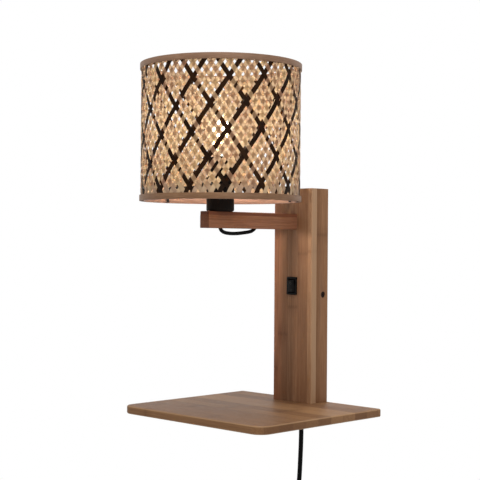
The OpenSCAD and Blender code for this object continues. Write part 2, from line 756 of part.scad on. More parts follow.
// The single wires, two by two: in the holder, over the terminal block, and at the switch
module core_wires() {
  y = -arm_route[0][0];
  z_lead_end = z_arm + arm_route[len(arm_route) - 1][1];
  z_lead_start = z_arm + arm_route[0][1];
  z_sheath = inner_route[len(inner_route) - 1][2];
  y_sheath = inner_route[len(inner_route) - 1][1];
  y_tip = terminal_y + terminal_l;
  z_up = z_switch + terminal_gap / 2;
  z_down = z_switch - terminal_gap / 2;
  over = z_block + block[2];
  color("saddlebrown") {
    for (s = [-1, 1]) {
      tube([[s * 1.1, -axis_y, z_lead_end + 0.1], [s * 1.1, -axis_y, z_lead_end + 0.7],
        [s * 1.6, -axis_y, z_lead_end + 1.8], [s * 3.4, -axis_y, z_lead_end + 4.6],
        [s * 4, -axis_y, z_lead_end + 6.6], [s * 4, -axis_y, z_bulb_cap - 2.2]], core_d, 8, [0, 1, 0]);
      tube([[s * 1.1, y, z_lead_start - 0.1], [s * 1.1, y, z_lead_start - 0.7],
        [s * 1.7, y, z_lead_start - 1.8], [s * 3.5, y, over + 1.7], [s * 4, y, over + 0.7],
        [s * 4, y, over + 0.02]], core_d, 8, [0, 1, 0]);
    }
    tube([[0, y_tip + 0.1, z_up], [0, y_tip + 2.4, z_up + 0.2], [-0.4, y_tip + 4, z_up + 1.8],
      [-1.4, y_tip + 4.3, z_up + 6], [-3.2, y_tip + 2.4, z_up + 15], [-4, y + 0.2, z_block - 4],
      [-4, y, z_block - 1], [-4, y, z_block - 0.02]], core_d, 8, [1, 0, 0]);
    tube([[0, y_tip + 0.1, z_down], [0, y_tip + 2.4, z_down - 0.2], [-0.3, y_tip + 4, z_down - 1.8],
      [-0.9, y_tip + 4.2, z_down - 6], [-1.1, y_tip + 1.8, z_down - 15],
      [-1.1, y_sheath + 0.4, z_sheath + 5], [-1.1, y_sheath, z_sheath + 1],
      [-1.1, y_sheath, z_sheath + 0.1]], core_d, 8, [1, 0, 0]);
    tube([[1.1, y_sheath, z_sheath + 0.1], [1.1, y_sheath, z_sheath + 1],
      [1.2, y_sheath + 0.3, z_sheath + 6],
      [3, y_sheath + 1.4, z_sheath + 16], [5.6, y, z_down], [6, y, z_up], [5.6, y, z_up + 13],
      [4.3, y, z_block - 4], [4, y, z_block - 1], [4, y, z_block - 0.02]], core_d, 8, [1, 0, 0]);
  }
}

module arm_lead() {
  color("black") tube([for (p = arm_route) [0, -p[0], z_arm + p[1]]], arm_lead_d, 10, [1, 0, 0]);
}

module cord_inner() {
  color("black") tube(inner_route, cord_d, 10, [1, 0, 0]);
}

module cord_relief() {
  color("black") translate([0, -cord_y, z_outlet]) difference() {
    union() {
      cylinder(h = shelf_t + foot_h, d = relief_stem_d);
      translate([0, 0, -relief_flange]) cylinder(h = relief_flange, d = relief_d + 3);
      translate([0, 0, -relief_flange - relief_l]) cylinder(h = relief_l, d1 = cord_d + 1, d2 = relief_d);
    }
    translate([0, 0, -relief_l - 3]) cylinder(h = 60, d = cord_d + 2 * thread_gap);
  }
}

module mains_cord() {
  color("black") tube(cord_route, cord_d, 10, [0, 1, 0]);
}

// A point of the coil after t turns. It winds inward in the layer by the wall, climbs to the
// front layer in half a turn and winds out again
function coil_point(t) =
  let (r = coil_outer - coil_pitch * (coil_turns - abs(t - coil_turns)),
    climb = min(max(2 * (t - coil_turns) + 0.5, 0), 1))
  [coil_x - r * cos(360 * t), -cord_y - coil_layer * climb, coil_z - r * sin(360 * t)];

coil_end = coil_point(2 * coil_turns);
coil_path = [coil_start, for (k = [0:2 * coil_turns * rings_per_turn]) coil_point(k / rings_per_turn),
  coil_end - [0, 0, cord_d]];

module cord_coil() {
  color("black") tube(coil_path, cord_d, 6, [0, 1, 0]);
}

// A strap round all the turns on the side where the lead comes in
module cord_tie() {
  inner = [coil_outer - coil_inner + cord_d + 2 * seat, coil_layer + cord_d + 2 * seat, tie_h + 2];
  outer = inner + [2 * tie_wall, 2 * tie_wall, -2];
  middle = [coil_x - coil_r, -cord_y - coil_layer / 2, coil_z];
  color("black") translate(middle) {
    difference() {
      cube(outer, center = true);
      cube(inner, center = true);
    }
    translate([-4, -outer[1] / 2 - 3, -tie_h / 2]) cube([7, 3, tie_h]);
  }
}

// A flat rectangle with half-round ends, along y
module stadium(size) {
  linear_extrude(size[2]) {
    square([size[0], size[1] - size[0]], center = true);
    for (s = [-1, 1]) translate([0, s * (size[1] - size[0]) / 2]) circle(d = size[0]);
  }
}

module plug_body() {
  color("black") translate([coil_end[0], coil_end[1], coil_end[2] - cord_d - plug_relief_l]) {
    cylinder(h = plug_relief_l, d1 = relief_d + 0.6, d2 = cord_d + 0.8);
    translate([0, 0, -plug_neck[2]]) stadium(plug_neck);
    translate([0, 0, -plug_neck[2] - plug[2]]) stadium(plug);
  }
}

module plug_pins() {
  z = coil_end[2] - cord_d - plug_relief_l - plug_neck[2] - plug[2] - plug_pin_l;
  color("silver") for (s = [-1, 1])
    translate([coil_end[0], coil_end[1] + s * plug_pin_gap / 2, z]) {
      cylinder(h = plug_pin_l, d = plug_pin_d);
      sphere(d = plug_pin_d);
    }
}

// The least gap between two turns of the coil, and the length of lead in it
near = rings_per_turn / 2;
coil_gap = min([for (i = [0:len(coil_path) - near - 1], j = [i + near:len(coil_path) - 1])
  norm(coil_path[j] - coil_path[i])]) - cord_d;
function path_length(p, i = 0) = i > len(p) - 2 ? 0 : norm(p[i + 1] - p[i]) + path_length(p, i + 1);
echo(coil_gap = coil_gap, coil_length = path_length(coil_path), free_length = path_length(cord_route));

column_front();
column_side_left();
column_side_right();
column_cap();
column_foot();
shelf();
shelf_screws();
wall_bracket();
side_screws();
arm_body();
arm_cover();
arm_screw();
holder_cap();
holder_sleeve();
holder_core();
holder_contacts();
holder_nipple();
nipple_nuts();
shade_collar();
bulb_glass();
bulb_cap();
bulb_stem();
bulb_filaments();
fitter_ring();
fitter_wires();
hoop_top_outer();
hoop_top_inner();
hoop_bottom_outer();
hoop_bottom_inner();
weave_natural_right();
weave_natural_left();
weave_dark_right();
weave_dark_left();
switch_housing();
switch_rocker();
switch_terminals();
terminal_block();
core_wires();
arm_lead();
cord_inner();
cord_relief();
mains_cord();
cord_coil();
cord_tie();
plug_body();
plug_pins();
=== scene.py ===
import math
import random
import bpy
from mathutils import Matrix, Vector


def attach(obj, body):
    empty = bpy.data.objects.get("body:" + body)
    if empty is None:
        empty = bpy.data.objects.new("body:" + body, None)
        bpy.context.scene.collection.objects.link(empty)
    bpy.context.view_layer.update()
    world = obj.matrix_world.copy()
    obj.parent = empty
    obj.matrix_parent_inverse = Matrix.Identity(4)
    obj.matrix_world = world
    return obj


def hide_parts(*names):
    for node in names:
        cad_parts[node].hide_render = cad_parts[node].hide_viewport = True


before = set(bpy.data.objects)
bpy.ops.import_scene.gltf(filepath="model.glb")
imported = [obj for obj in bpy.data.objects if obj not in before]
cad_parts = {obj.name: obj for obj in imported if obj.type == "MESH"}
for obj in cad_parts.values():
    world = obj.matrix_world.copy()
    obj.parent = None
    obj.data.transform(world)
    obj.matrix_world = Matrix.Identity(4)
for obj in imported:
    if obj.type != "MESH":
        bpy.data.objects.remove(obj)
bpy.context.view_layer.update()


# ---- small helpers

def deselect():
    if bpy.context.object and bpy.context.object.mode != "OBJECT":
        bpy.ops.object.mode_set(mode="OBJECT")
    bpy.ops.object.select_all(action="DESELECT")


def pick(piece):
    deselect()
    piece.select_set(True)
    bpy.context.view_layer.objects.active = piece


def added(label):
    # the primitive that was just added, under its own name
    piece = bpy.context.object
    piece.name = label
    piece.data.name = label
    return piece


def apply(piece, kind, **settings):
    pick(piece)
    modifier = piece.modifiers.new(kind.title(), kind)
    for key, value in settings.items():
        setattr(modifier, key, value)
    bpy.ops.object.modifier_apply(modifier=modifier.name)


def smooth(piece, angle):
    pick(piece)
    bpy.ops.object.shade_smooth_by_angle(angle=math.radians(angle))


def settle(piece):
    pick(piece)
    bpy.ops.object.transform_apply(location=True, rotation=True, scale=True)


def outward(piece):
    # close the mesh and turn its faces' front sides out
    pick(piece)
    bpy.ops.object.mode_set(mode="EDIT")
    bpy.ops.mesh.select_all(action="SELECT")
    bpy.ops.mesh.remove_doubles(threshold=solid["weld"] / 2)
    bpy.ops.mesh.normals_make_consistent(inside=False)
    bpy.ops.object.mode_set(mode="OBJECT")


def choose(piece, test):
    # edit mode, with only the vertices that pass the test selected
    pick(piece)
    bpy.ops.object.mode_set(mode="EDIT")
    bpy.ops.mesh.select_mode(type="VERT")
    bpy.ops.mesh.select_all(action="DESELECT")
    bpy.ops.object.mode_set(mode="OBJECT")
    for v in piece.data.vertices:
        v.select = test(v.co)
    bpy.ops.object.mode_set(mode="EDIT")


def join(pieces, label):
    deselect()
    for piece in pieces:
        piece.select_set(True)
    bpy.context.view_layer.objects.active = pieces[0]
    bpy.ops.object.join()
    return added(label)


def paint(piece, finish):
    piece.data.materials.clear()
    piece.data.materials.append(finish)


def place(piece, *nodes, rides="lamp", slot=None):
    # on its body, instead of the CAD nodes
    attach(piece, rides)
    if nodes:
        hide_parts(*nodes)


solid = {
    "weld": 0.000002,   # vertices this close become one
    "flat": 0.5,        # degrees below which two faces are one
    "sharp": 32,        # degrees from which an edge is broken
}


def softCopy(cadNode, label, finish, edge, angle=35, rides="lamp", slot=None):
    # the CAD solid again, with its edges broken as a machine or a mould leaves them
    piece = bpy.data.objects.new(label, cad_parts[cadNode].data.copy())
    piece.data.name = label
    bpy.context.scene.collection.objects.link(piece)
    pick(piece)
    bpy.ops.object.mode_set(mode="EDIT")
    bpy.ops.mesh.select_all(action="SELECT")
    bpy.ops.mesh.remove_doubles(threshold=solid["weld"])
    bpy.ops.mesh.dissolve_limited(angle_limit=math.radians(solid["flat"]))
    bpy.ops.object.mode_set(mode="OBJECT")
    if edge:
        apply(piece, "BEVEL", width=edge, segments=2, limit_method="ANGLE",
              angle_limit=math.radians(solid["sharp"]), harden_normals=False)
    smooth(piece, angle)
    paint(piece, finish)
    place(piece, cadNode, rides=rides, slot=slot)


# ---- material helpers

def tint(r, g, b):
    # a colour as a screen shows it, 0 to 255
    linear = [((c / 255 + 0.055) / 1.055) ** 2.4 if c > 10 else c / 3294.6 for c in (r, g, b)]
    return tuple(linear) + (1,)


def node(tree, kind, inputs=None, **settings):
    made = tree.nodes.new("ShaderNode" + kind)
    for key, value in settings.items():
        setattr(made, key, value)
    for key, value in (inputs or {}).items():
        if isinstance(value, bpy.types.NodeSocket):
            tree.links.new(value, made.inputs[key])
        else:
            made.inputs[key].default_value = value
    return made


def maths(tree, operation, *values):
    return node(tree, "Math", dict(enumerate(values)), operation=operation).outputs[0]


def spread(tree, value, low, high, start=0.0, end=1.0, kind="SMOOTHSTEP"):
    # value's range low to high, turned into start to end
    inputs = {"Value": value, "From Min": low, "From Max": high, "To Min": start, "To Max": end}
    return node(tree, "MapRange", inputs, interpolation_type=kind).outputs[0]


def streaky(along, across, lengthways):
    # noise scales that are fine across the streaks and slow along them
    return [lengthways if way == along else across for way in "XYZ"]


def noise(tree, vector, scales, detail):
    # scales is one number, or one for each axis
    scales = scales if isinstance(scales, list) else [scales] * 3
    scaled = node(tree, "VectorMath", {0: vector, 1: scales}, operation="MULTIPLY").outputs[0]
    inputs = {"Vector": scaled, "Scale": 1.0, "Detail": detail, "Roughness": 0.55}
    return node(tree, "TexNoise", inputs).outputs[0]


def weigh(tree, start, *parts):
    # start, and each part's value times its weight
    for value, weight in parts:
        start = maths(tree, "MULTIPLY_ADD", value, weight, start)
    return start


def ramp(tree, value, stops):
    made = node(tree, "ValToRGB", {"Fac": value})
    marks = made.color_ramp.elements
    while len(marks) < len(stops):
        marks.new(0.5)
    for mark, (spot, color) in zip(marks, stops):
        mark.position = spot
        mark.color = color
    return made.outputs[0]


def blend(tree, color, amount, other):
    # amount is a socket or a number from 0 to 1
    inputs = {0: amount, 6: color, 7: other}
    return node(tree, "Mix", inputs, data_type="RGBA", blend_type="MIX").outputs[2]


def stain(tree, color, where, depth, tone):
    # where is a socket from 0 to 1, and depth is the most that the tone covers
    return blend(tree, color, maths(tree, "MULTIPLY", where, depth), tint(*tone))


def bump(tree, height, distance, strength):
    inputs = {"Height": height, "Distance": distance, "Strength": strength}
    return node(tree, "Bump", inputs).outputs[0]


def mixShaders(tree, share, first, second):
    # share of the second shader in the output, 0 to 1
    mix = node(tree, "MixShader", {0: share, 1: first.outputs[0], 2: second.outputs[0]})
    tree.links.new(mix.outputs[0], tree.get_output_node("ALL").inputs[0])


def material(label, **shader):
    made = bpy.data.materials.new(label)
    made.use_nodes = True
    tree = made.node_tree
    tree.nodes.clear()
    inputs = {key.replace("_", " "): value for key, value in shader.items()}
    skin = node(tree, "BsdfPrincipled", inputs)
    tree.links.new(skin.outputs[0], node(tree, "OutputMaterial").inputs[0])
    return made, tree, skin


def feed(tree, skin, **sockets):
    for key, value in sockets.items():
        tree.links.new(value, skin.inputs[key.replace("_", " ")])


# ---- camera and light

camera = {
    "lens": 87.671,
    "sensor": 36,
    "place": (0.933394, -1.056322, 0.060260),
    "near": 0.01,
    "yaw": 44.864,      # degrees
    "pitch": 0.149,
    "roll": 0.395,
}
light = {
    "sky": 0.52,
    "skyColor": (1.0, 0.985, 0.965, 1),
    "top": 30,          # watts
    "topPlace": (0.5, -0.9, 1.9),
    "topSize": 1.3,
    "fill": 9,
    "fillPlace": (1.9, -0.6, 0.4),
    "fillSize": 1.2,
    "aim": (0, -0.1, 0.05),
    "bulb": 0.95,
    "bulbColor": (1.0, 0.96, 0.87),
    "bulbPlace": (0, -0.150, 0.1885),
    "bulbRadius": 0.011,
}


def setCamera():
    yaw, pitch, roll = (math.radians(camera[k]) for k in ("yaw", "pitch", "roll"))
    ahead = Vector((-math.sin(yaw) * math.cos(pitch), math.cos(yaw) * math.cos(pitch),
                    math.sin(pitch)))
    level = Vector((math.cos(yaw), math.sin(yaw), 0))
    above = level.cross(ahead)
    right = level * math.cos(roll) + above * math.sin(roll)
    up = above * math.cos(roll) - level * math.sin(roll)
    bpy.ops.object.camera_add()
    view = added("camera")
    view.data.lens = camera["lens"]
    view.data.sensor_width = camera["sensor"]
    view.data.clip_start = camera["near"]
    turn = Matrix((right, up, -ahead)).transposed().to_4x4()
    view.matrix_world = Matrix.Translation(camera["place"]) @ turn
    bpy.context.scene.camera = view


def areaLamp(name):
    spot = Vector(light[name + "Place"])
    bpy.ops.object.light_add(type="AREA", location=spot)
    lamp = added(name + "Light")
    lamp.data.energy = light[name]
    lamp.data.size = light[name + "Size"]
    lamp.rotation_euler = (Vector(light["aim"]) - spot).to_track_quat("-Z", "Y").to_euler()


def setLight():
    areaLamp("top")
    areaLamp("fill")
    bpy.ops.object.light_add(type="POINT", location=light["bulbPlace"])
    glow = added("bulbLight")
    glow.data.energy = light["bulb"]
    glow.data.color = light["bulbColor"]
    glow.data.shadow_soft_size = light["bulbRadius"]


def setWorld():
    # the sky lights the lamp; the eye, mirrors and glass see plain white
    world = bpy.data.worlds.new("studio")
    bpy.context.scene.world = world
    world.use_nodes = True
    tree = world.node_tree
    tree.nodes.clear()
    rays = node(tree, "LightPath").outputs
    direct = maths(tree, "MAXIMUM", rays["Is Camera Ray"], rays["Is Glossy Ray"])
    direct = maths(tree, "MAXIMUM", direct, rays["Is Transmission Ray"])
    sky = node(tree, "Background", {"Strength": light["sky"], "Color": light["skyColor"]})
    white = node(tree, "Background", {"Color": (1, 1, 1, 1)})
    node(tree, "OutputWorld")
    mixShaders(tree, direct, sky, white)


setCamera()
setLight()
setWorld()
bpy.context.scene.view_settings.view_transform = "Standard"
print("camera and light are set")


# ---- bamboo boards

bamboo = {
    "tones": [(92, 60, 41), (124, 88, 63), (148, 110, 82)],
    "stops": [0.42, 0.78, 1.12],
    "gloss": 0.13,
    "otherDraw": 31.7,              # for a lamella's second chance value
    "fibres": (850.0, 22.0),        # per metre, across the board and along it
    "dashes": (2600.0, 110.0),
    "clouds": 14.0,
    "lamellaShare": 0.55,           # how far each part of the grain moves the tone
    "fibreShare": 0.55,
    "dashShare": 0.28,
    "cloudShare": 0.2,
    "knotGap": 0.205,               # from one knot to the next along a lamella
    "knotReach": (0.001, 0.016),    # from the knot's middle, in shares of that gap
    "haloReach": (0.012, 0.075),
    "haloShare": -0.08,
    "wobble": 0.034,                # how ragged a knot's line is
    "knot": (76, 48, 33),
    "knotDepth": 0.26,
    "seamReach": (0.482, 0.498),    # from a lamella's middle, in shares of its width
    "seam": (78, 50, 34),
    "seamDepth": 0.42,
    "end": (70, 36, 26),            # the fibres' cut ends
    "rim": (170, 138, 108),         # the pale long edge of the front board
    "rimLift": 0.6,
    "bevelHighlight": (184, 152, 118),       # the shelf's bevels, paler as a painted highlight where they catch the light
    "bevelHighlightLift": 0.3,
    "relief": 0.00014,
}


def chance(tree, value):
    # a number from 0 to 1 that belongs to the value
    return node(tree, "TexWhiteNoise", {"W": value}, noise_dimensions="1D").outputs["Value"]


def fromMiddle(tree, value):
    # how far the value is from the middle between two whole numbers, 0 to 0.5
    return maths(tree, "ABSOLUTE", maths(tree, "SUBTRACT", maths(tree, "FRACT", value), 0.5))


def bandTone(tree, place, bands):
    # a tone for each stretch of the board's width: lamellas cut from different canes, and on the
    # column's front also painted shade and light
    first, last = bands[0][0], bands[-1][0]
    share = spread(tree, place, first, last, kind="LINEAR")
    # a ramp holds no colour above 1, so it holds the half
    halves = [((x - first) / (last - first), tuple(f / 2 for f in c) + (1,)) for x, c in bands]
    tone = ramp(tree, share, halves)
    return node(tree, "VectorMath", {0: tone, 3: 2.0}, operation="SCALE").outputs[0]


def boardMaterial(label, board):
    made, tree, skin = material(label, Specular_IOR_Level=bamboo["gloss"])
    spot = node(tree, "TexCoord").outputs["Object"]
    places = node(tree, "SeparateXYZ", {0: spot}).outputs
    across, along = places[board["across"]], places[board["along"]]
    strip = maths(tree, "MULTIPLY_ADD", across, 1 / board["lamella"], board["seed"])
    index = maths(tree, "FLOOR", strip)
    shade = chance(tree, index)
    shift = chance(tree, maths(tree, "ADD", index, bamboo["otherDraw"]))

    # fibres: long streaks, and short fine dashes that differ from lamella to lamella
    slid = node(tree, "VectorMath", {0: spot, 1: shift}, operation="ADD").outputs[0]
    fibres = noise(tree, slid, streaky(board["along"], *bamboo["fibres"]), 4.0)
    dashes = noise(tree, slid, streaky(board["along"], *bamboo["dashes"]), 2.0)
    clouds = noise(tree, slid, bamboo["clouds"], 2.0)

    # a knot on each lamella, at its own height
    phase = maths(tree, "MULTIPLY_ADD", along, 1 / bamboo["knotGap"], shift)
    fraction = maths(tree, "SUBTRACT", maths(tree, "FRACT", phase), 0.5)
    wobble = maths(tree, "MULTIPLY_ADD", fibres, bamboo["wobble"], -bamboo["wobble"] / 2)
    away = maths(tree, "ABSOLUTE", maths(tree, "ADD", fraction, wobble))
    knot = spread(tree, away, *bamboo["knotReach"], 1.0, 0.0)
    halo = spread(tree, away, *bamboo["haloReach"], 1.0, 0.0)
    seam = spread(tree, fromMiddle(tree, strip), *bamboo["seamReach"])

    contrast = bamboo["lamellaShare"] * board["contrast"]
    mixed = weigh(tree, (bamboo["lamellaShare"] - contrast) / 2, (shade, contrast),
                  (fibres, bamboo["fibreShare"]), (dashes, bamboo["dashShare"]),
                  (clouds, bamboo["cloudShare"]), (halo, bamboo["haloShare"]))
    tones = [tint(*(c * w for c, w in zip(tone, board["warmth"]))) for tone in bamboo["tones"]]
    color = ramp(tree, mixed, list(zip(bamboo["stops"], tones)))
    color = stain(tree, color, knot, bamboo["knotDepth"], bamboo["knot"])
    color = stain(tree, color, seam, bamboo["seamDepth"], bamboo["seam"])
    if board["bands"]:
        tone = bandTone(tree, across, board["bands"])
        color = node(tree, "VectorMath", {0: color, 1: tone}, operation="MULTIPLY").outputs[0]

    facing = node(tree, "SeparateXYZ", {0: node(tree, "TexCoord").outputs["Normal"]}).outputs
    cut = spread(tree, maths(tree, "ABSOLUTE", facing[board["along"]]), 0.75, 0.95)
    color = stain(tree, color, cut, board["endDepth"], bamboo["end"])
    if board["pale"] == "rim":
        rim = spread(tree, maths(tree, "ABSOLUTE", facing["X"]), 0.6, 0.9)
        color = stain(tree, color, rim, bamboo["rimLift"], bamboo["rim"])
    # a painted highlight on the shelf's bevels, where they catch the light
    if board["pale"] == "bevelHighlight":
        level = maths(tree, "ABSOLUTE", facing["Z"])
        bevelHighlight = maths(tree, "MULTIPLY", spread(tree, level, 0.1, 0.35),
                      spread(tree, level, 0.9, 0.99, 1.0, 0.0))
        color = stain(tree, color, bevelHighlight, bamboo["bevelHighlightLift"], bamboo["bevelHighlight"])

    height = weigh(tree, 0.0, (dashes, 0.5), (seam, -0.7), (knot, 0.15))
    feed(tree, skin, Base_Color=color, Roughness=spread(tree, dashes, 0.3, 0.7, 0.42, 0.6),
         Normal=bump(tree, height, bamboo["relief"], 0.7))
    return made


# along: the fibres' way; across: the way in which one lamella lies beside the next;
# lamella: its width; contrast: how much the lamellas differ; pale: which edges are paler, in
# their own tone or as a painted highlight;
# edge: how far the edges are broken; bands: the tone from each place on across the board
plainBoard = {
    "warmth": (1.0, 1.0, 1.0),
    "lamella": 0.0118,
    "contrast": 0.8,
    "endDepth": 0.4,
    "pale": None,
    "edge": 0.0003,
    "bands": None,
}
columnFront = {
    **plainBoard,
    "across": "X",
    "along": "Z",
    "seed": 0.46,
    "warmth": (1.09, 1.12, 1.15),
    "lamella": 0.0155,
    "contrast": 0.5,
    "pale": "rim",
    "edge": 0.0005,
    # lamella tones, with a darker stretch in the middle that is painted shadow of the arm, and a
    # brighter, redder left stretch that is painted warm light from the lamp
    "bands": [(-0.0300, (1.42, 1.18, 1.16)), (-0.0200, (1.26, 1.14, 1.12)),
              (-0.0150, (0.94, 0.92, 0.92)), (-0.0020, (0.80, 0.80, 0.80)),
              (0.0040, (0.98, 0.96, 0.94)), (0.0100, (1.22, 1.20, 1.16)),
              (0.0300, (1.14, 1.16, 1.12))],
}
columnSideLeft = {
    **plainBoard,
    "across": "Y",
    "along": "Z",
    "seed": 3.2,
    "contrast": 0.6,
    "edge": 0.0004,
}
columnSideRight = {
    **plainBoard,
    "across": "Y",
    "along": "Z",
    "seed": 8.02,
    "warmth": (1.04, 1.05, 1.02),
    "lamella": 0.0215,
    "contrast": 0.5,
    "edge": 0.0004,
    "bands": [(-0.0300, (1.06, 1.06, 1.04)), (-0.0225, (1.04, 1.04, 1.02)),
              (-0.0205, (0.86, 0.84, 0.82)), (-0.0160, (0.90, 0.88, 0.87)),
              (-0.0120, (1.06, 1.06, 1.08)), (0.0, (1.10, 1.10, 1.12))],
}
columnCap = {**plainBoard, "across": "Y", "along": "X", "seed": 5.1}
columnFoot = {**plainBoard, "across": "Y", "along": "X", "seed": 2.7}
shelfBoard = {
    **plainBoard,
    "across": "Y",
    "along": "X",
    "seed": 6.3,
    "warmth": (1.02, 1.04, 1.02),
    "lamella": 0.0205,
    "contrast": 0.55,
    "endDepth": 0.12,
    "pale": "bevelHighlight",
    "edge": 0.0008,
    "bands": [(-0.166, (0.92, 0.92, 0.84)), (-0.120, (0.86, 0.86, 0.78)),
              (-0.060, (0.96, 0.96, 0.88)), (0.0, (0.88, 0.87, 0.80))],
}
armBody = {
    **plainBoard,
    "across": "Z",
    "along": "Y",
    "seed": 4.35,
    "warmth": (1.09, 1.03, 1.04),
    "lamella": 0.0185,
    "contrast": 0.6,
    "endDepth": 0.6,
}
armCover = {
    **plainBoard,
    "across": "X",
    "along": "Y",
    "seed": 9.5,
    "warmth": (0.9, 0.76, 0.73),
    "lamella": 0.0185,
    "contrast": 0.6,
    "endDepth": 0.6,
    "edge": 0.0004,
}

for cadNode, label, board in [
    ("column_front", "columnFront", columnFront),
    ("column_side_left", "columnSideLeft", columnSideLeft),
    ("column_side_right", "columnSideRight", columnSideRight),
    ("column_cap", "columnCap", columnCap),
    ("column_foot", "columnFoot", columnFoot),
    ("shelf", "shelfBoard", shelfBoard),
    ("arm_body", "armBody", armBody),
    ("arm_cover", "armCover", armCover),
]:
    finish = boardMaterial(label + "Bamboo", board)
    softCopy(cadNode, label, finish, board["edge"], slot="bamboo_mid")
print("boards are in place")


# ---- plastic, metal and glass

def plasticMaterial(label, dark, pale, rough, grain=900.0):
    made, tree, skin = material(label, Specular_IOR_Level=0.08)
    spot = node(tree, "TexCoord").outputs["Object"]
    cloud = noise(tree, spot, 60.0, 3.0)
    fine = noise(tree, spot, grain, 2.0)
    color = ramp(tree, cloud, [(0.3, tint(*dark)), (0.75, tint(*pale))])
    wear = spread(tree, cloud, 0.35, 0.7, rough - 0.08, rough + 0.1)
    feed(tree, skin, Base_Color=color, Roughness=wear, Normal=bump(tree, fine, 0.00006, 0.5))
    return made


def metalMaterial(label, dark, pale, rough, lines="Z"):
    # lines is the axis along which the brushed lines run
    made, tree, skin = material(label, Metallic=1.0)
    spot = node(tree, "TexCoord").outputs["Object"]
    brushed = noise(tree, spot, streaky(lines, 1500.0, 60.0), 3.0)
    cloud = noise(tree, spot, 120.0, 4.0)
    color = ramp(tree, cloud, [(0.3, tint(*dark)), (0.7, tint(*pale))])
    wear = spread(tree, cloud, 0.3, 0.7, rough - 0.08, rough + 0.12)
    feed(tree, skin, Base_Color=color, Roughness=wear, Normal=bump(tree, brushed, 0.00003, 0.4))
    return made


def glassMaterial(label, reach, power, haze):
    # clear glass that lets the lamp's own light out, lit from inside near the filaments
    made, tree, skin = material(label, Base_Color=(1.0, 0.985, 0.9, 1), IOR=1.45,
                                Transmission_Weight=1.0, Emission_Color=(1.0, 0.86, 0.60, 1))
    spot = node(tree, "TexCoord").outputs["Object"]
    gap = node(tree, "VectorMath", {0: spot, 1: light["bulbPlace"]}, operation="DISTANCE")
    glow = spread(tree, gap.outputs["Value"], *reach, power, 0.0)
    dust = noise(tree, spot, 400.0, 2.0)
    feed(tree, skin, Emission_Strength=glow,
         Roughness=spread(tree, dust, 0.4, 0.8, haze, haze + 0.05))
    shadow = node(tree, "LightPath").outputs["Is Shadow Ray"]
    mixShaders(tree, shadow, skin, node(tree, "BsdfTransparent"))
    return made


plasticBlack = plasticMaterial("plasticBlack", (5, 4, 4), (11, 9, 8), 0.42)
plasticMatt = plasticMaterial("plasticMatt", (8, 4, 2), (18, 11, 7), 0.55, 1400.0)
screwBlack = plasticMaterial("screwBlack", (20, 9, 6), (44, 22, 15), 0.5, 600.0)
insulator = plasticMaterial("insulatorWhite", (196, 190, 176), (216, 211, 198), 0.4)
zinc = metalMaterial("zincPlate", (132, 134, 138), (176, 178, 180), 0.34)
steelDark = metalMaterial("steelDark", (52, 51, 50), (84, 82, 80), 0.42, "X")
brass = metalMaterial("brassContact", (150, 112, 58), (196, 156, 92), 0.3)


# ---- lamp holder and its fastenings

for cadNode, label, finish, edge, slot in [
    ("holder_cap", "holderCap", plasticMatt, 0.0004, "plastic_black"),
    ("holder_sleeve", "holderSleeve", plasticMatt, 0.0003, "plastic_black"),
    ("shade_collar", "shadeCollar", plasticBlack, 0.0002, "plastic_black"),
    ("holder_core", "holderCore", insulator, 0.0002, "insulator"),
    ("holder_contacts", "holderContacts", brass, 0.00008, "brass"),
    ("holder_nipple", "holderNipple", zinc, 0.00015, "steel"),
    ("nipple_nuts", "nippleNuts", zinc, 0.0002, "steel"),
    ("fitter_ring", "fitterRing", steelDark, 0.0003, "steel_dark"),
    ("fitter_wires", "fitterWires", steelDark, 0.0, "steel_dark"),
    ("bulb_cap", "bulbCap", zinc, 0.0002, "steel"),
    ("wall_bracket", "wallBracket", zinc, 0.0003, "steel"),
    ("side_screws", "sideScrews", screwBlack, 0.0002, "steel_dark"),
    ("shelf_screws", "shelfScrews", zinc, 0.0001, "steel"),
    ("arm_screw", "armScrew", zinc, 0.0001, "steel"),
    ("switch_terminals", "switchTerminals", brass, 0.0001, "brass"),
    ("terminal_block", "terminalBlock", insulator, 0.0004, "insulator"),
    ("cord_relief", "cordRelief", plasticBlack, 0.0002, "plastic_black"),
    ("cord_tie", "cordTie", plasticMatt, 0.0002, "plastic_black"),
    ("plug_body", "plugBody", plasticBlack, 0.0006, "plastic_black"),
    ("plug_pins", "plugPins", zinc, 0.0002, "steel"),
]:
    softCopy(cadNode, label, finish, edge, slot=slot)
print("holder, bracket and fastenings are in place")


# ---- bulb

bulb = {
    "base": 0.1557,         # lower edge of the glass
    "height": 0.074,
    "capRadius": 0.00695,
    "radius": 0.0175,
    "widest": 0.4,          # share of the height at which the glass is widest
    "lowerBend": 2.2,
    "upperBend": 0.75,
    "tip": 0.0012,
    "wall": 0.0009,
    "glassGlow": {"reach": (0.0165, 0.022), "power": 0.14, "haze": 0.05},
    "stemGlow": {"reach": (0.004, 0.018), "power": 0.6, "haze": 0.02},
}
filament = {
    "count": 4,
    "base": 0.1697,
    "length": 0.030,
    "thick": 0.0008,        # radius of a rod
    "end": 0.0006,
    "radius": 0.0074,       # from the bulb's axis to a rod's foot
    "lean": 4,
    "wire": 0.0003,         # radius of a support wire
    "lowWire": (0.001, 0.0025),     # a wire's height and its inner end
    "highWire": (0.0285, 0.00085),
    "ember": [(1.0, 0.55, 0.16, 1), (1.0, 0.76, 0.38, 1)],
    "strength": 30.0,
}
axis = Vector((0, -0.150, 0))       # the middle of bulb and shade


def candleRadius(t):
    # t runs from 0 at the base to 1 at the tip
    cap, belly, widest = bulb["capRadius"], bulb["radius"], bulb["widest"]
    if t < widest:
        return cap + (belly - cap) * (1 - (1 - t / widest) ** bulb["lowerBend"])
    q = (t - widest) / (1 - widest)
    return belly * (1 - q * q) ** bulb["upperBend"] + bulb["tip"] * q * (1 - t) / (1 - widest)


